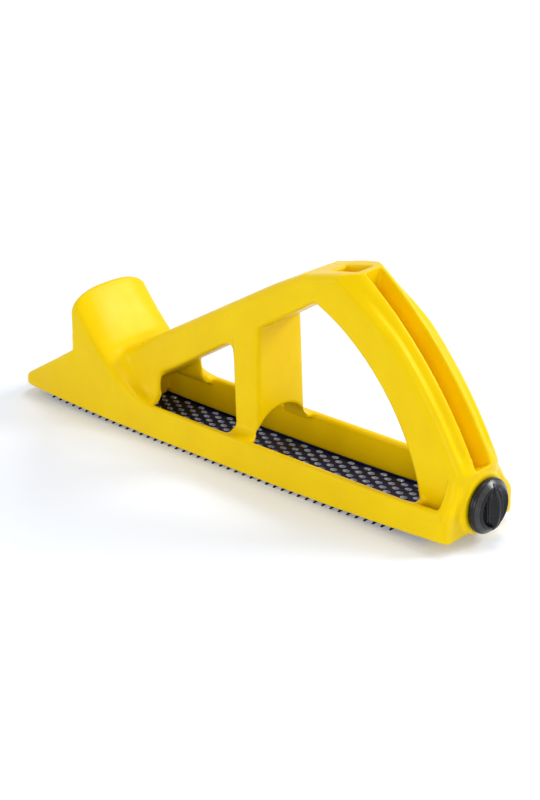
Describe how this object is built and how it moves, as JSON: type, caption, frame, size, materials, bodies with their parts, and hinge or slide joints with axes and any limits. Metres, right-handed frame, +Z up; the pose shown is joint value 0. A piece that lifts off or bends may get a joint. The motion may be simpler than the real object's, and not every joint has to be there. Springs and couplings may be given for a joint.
{
  "type": "rasp plane",
  "caption": "Hand rasp plane with a closed rear handle, a front palm rest and a perforated toothed blade held taut by a screw and knob at the heel.",
  "frame": {"origin": "middle of the length and width, on the surface the tool stands on", "axes": "+X from the toe to the heel, +Z up, +Y to the far side as pictured, which is the right-hand side of the tool seen from the heel"},
  "size_m": [0.2902, 0.05, 0.1102],
  "materials": {
    "moulded_body": "satin moulded yellow",
    "blade_steel": "dark blued steel",
    "bright_steel": "zinc plated",
    "knob_plastic": "satin moulded black"
  },
  "bodies": {
    "plane": {"body_frame": "moulded_body", "rasp_blade": "blade_steel", "toe_hook": "bright_steel", "thrust_washer": "bright_steel"},
    "knob": {"tension_knob": "knob_plastic", "tension_screw": "bright_steel", "retaining_clip": "bright_steel"},
    "hook": {"tension_hook": "bright_steel", "square_nut": "bright_steel"}
  },
  "joints": [
    {"name": "knob_turn", "type": "hinge", "parent": "plane", "child": "knob", "pos_m": [0.136, 0, 0.0172], "axis": [1, 0, 0], "range_deg": [0, 1442]},
    {"name": "hook_slide", "type": "slide", "parent": "plane", "child": "hook", "axis": [-1, 0, 0], "range_m": [0, 0.0032]}
  ],
  "couplings": [
    {"joint": "knob_turn", "follows": "hook_slide", "rad_per_m": 7854}
  ]
}
